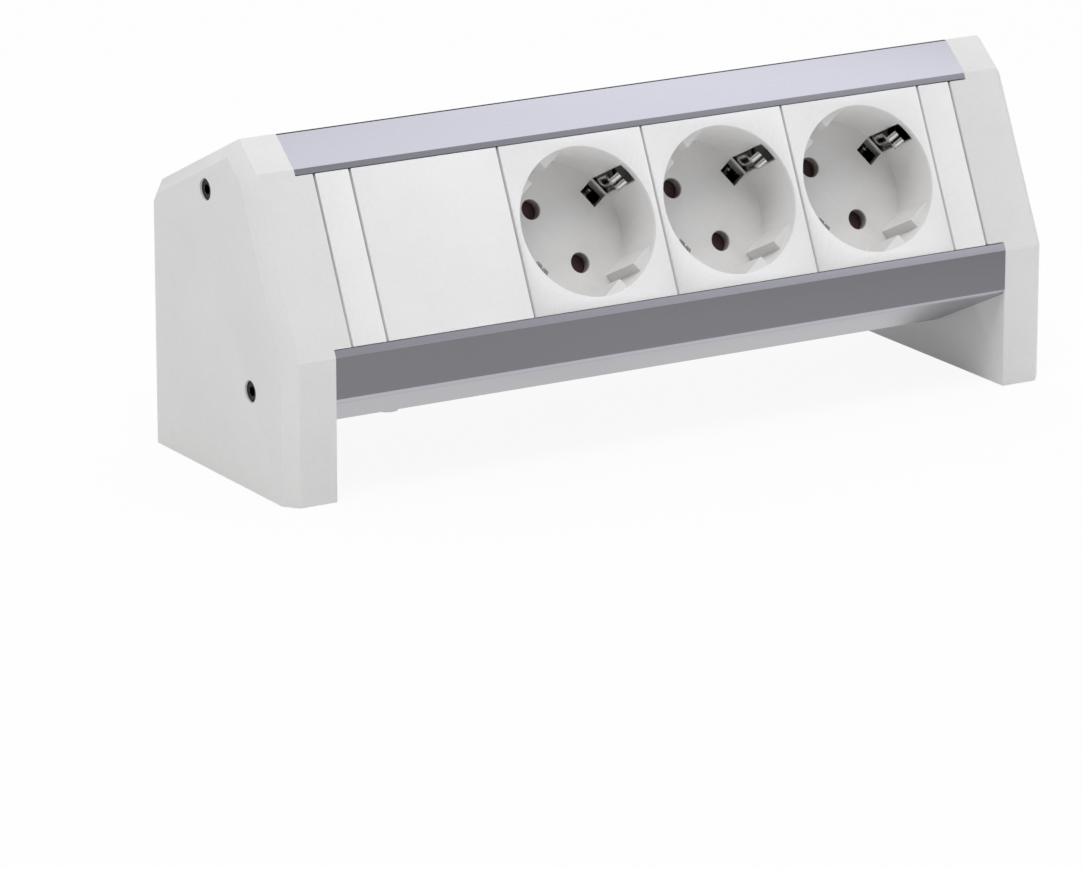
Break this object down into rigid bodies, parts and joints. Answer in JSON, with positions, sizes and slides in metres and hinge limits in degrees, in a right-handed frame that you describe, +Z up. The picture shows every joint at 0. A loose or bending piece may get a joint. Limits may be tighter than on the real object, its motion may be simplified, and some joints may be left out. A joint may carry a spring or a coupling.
{
  "type": "desk power strip",
  "caption": "Free-standing desk power strip: aluminium profile between light grey end caps, with sloping earthed mains sockets and a blank cover.",
  "frame": {"origin": "centre of the footprint, on the surface the unit stands on", "axes": "+X along the row of sockets, +Y from the sloping front to the rear wall, +Z up"},
  "size_m": [0.23, 0.0736, 0.0885],
  "materials": {
    "cap_plastic": "satin light grey",
    "anodised_aluminium": "satin anodised",
    "module_plastic": "semi gloss white",
    "housing_plastic": "matt grey",
    "blackened_steel": "black oxide",
    "sprung_steel": "nickel plated",
    "contact_brass": "plain brass",
    "shutter_plastic": "matt dark brown",
    "spring_wire": "drawn wire",
    "zinc_plated_steel": "bright zinc",
    "inlet_plastic": "black",
    "brown_sheath": "brown",
    "blue_sheath": "blue",
    "green_yellow_sheath": "green and yellow"
  },
  "bodies": {
    "body": {"blank_cover": "module_plastic", "bond_nut": "zinc_plated_steel", "bond_screw": "zinc_plated_steel", "busbar_line": "contact_brass", "busbar_neutral": "contact_brass", "cap_left": "cap_plastic", "cap_right": "cap_plastic", "cap_screws_left": "blackened_steel", "cap_screws_right": "blackened_steel", "earth_bar": "contact_brass", "inlet_body": "inlet_plastic", "inlet_pin_earth": "contact_brass", "inlet_pin_line": "contact_brass", "inlet_pin_neutral": "contact_brass", "lead_earth": "green_yellow_sheath", "lead_line": "brown_sheath", "lead_neutral": "blue_sheath", "profile": "anodised_aluminium", "socket_1_earth_clip": "sprung_steel", "socket_1_housing": "housing_plastic", "socket_1_insert": "module_plastic", "socket_1_line_contact": "contact_brass", "socket_1_neutral_contact": "contact_brass", "socket_1_screws": "zinc_plated_steel", "socket_1_spring": "spring_wire", "socket_2_earth_clip": "sprung_steel", "socket_2_housing": "housing_plastic", "socket_2_insert": "module_plastic", "socket_2_line_contact": "contact_brass", "socket_2_neutral_contact": "contact_brass", "socket_2_screws": "zinc_plated_steel", "socket_2_spring": "spring_wire", "socket_3_earth_clip": "sprung_steel", "socket_3_housing": "housing_plastic", "socket_3_insert": "module_plastic", "socket_3_line_contact": "contact_brass", "socket_3_neutral_contact": "contact_brass", "socket_3_screws": "zinc_plated_steel", "socket_3_spring": "spring_wire", "spacer_left": "module_plastic", "spacer_right": "module_plastic"},
    "shutter_1": {"socket_1_shutter": "shutter_plastic"},
    "shutter_2": {"socket_2_shutter": "shutter_plastic"},
    "shutter_3": {"socket_3_shutter": "shutter_plastic"}
  },
  "joints": [
    {"name": "shutter_1_slide", "type": "slide", "parent": "body", "child": "shutter_1", "axis": [0.8211, 0.243, 0.5164], "range_m": [0, 0.0064], "stiffness_N_per_m": 60, "springref_m": -0.003, "deforming": ["socket_1_spring"]},
    {"name": "shutter_2_slide", "type": "slide", "parent": "body", "child": "shutter_2", "axis": [0.8211, 0.243, 0.5164], "range_m": [0, 0.0064], "stiffness_N_per_m": 60, "springref_m": -0.003, "deforming": ["socket_2_spring"]},
    {"name": "shutter_3_slide", "type": "slide", "parent": "body", "child": "shutter_3", "axis": [0.8211, 0.243, 0.5164], "range_m": [0, 0.0064], "stiffness_N_per_m": 60, "springref_m": -0.003, "deforming": ["socket_3_spring"]}
  ]
}
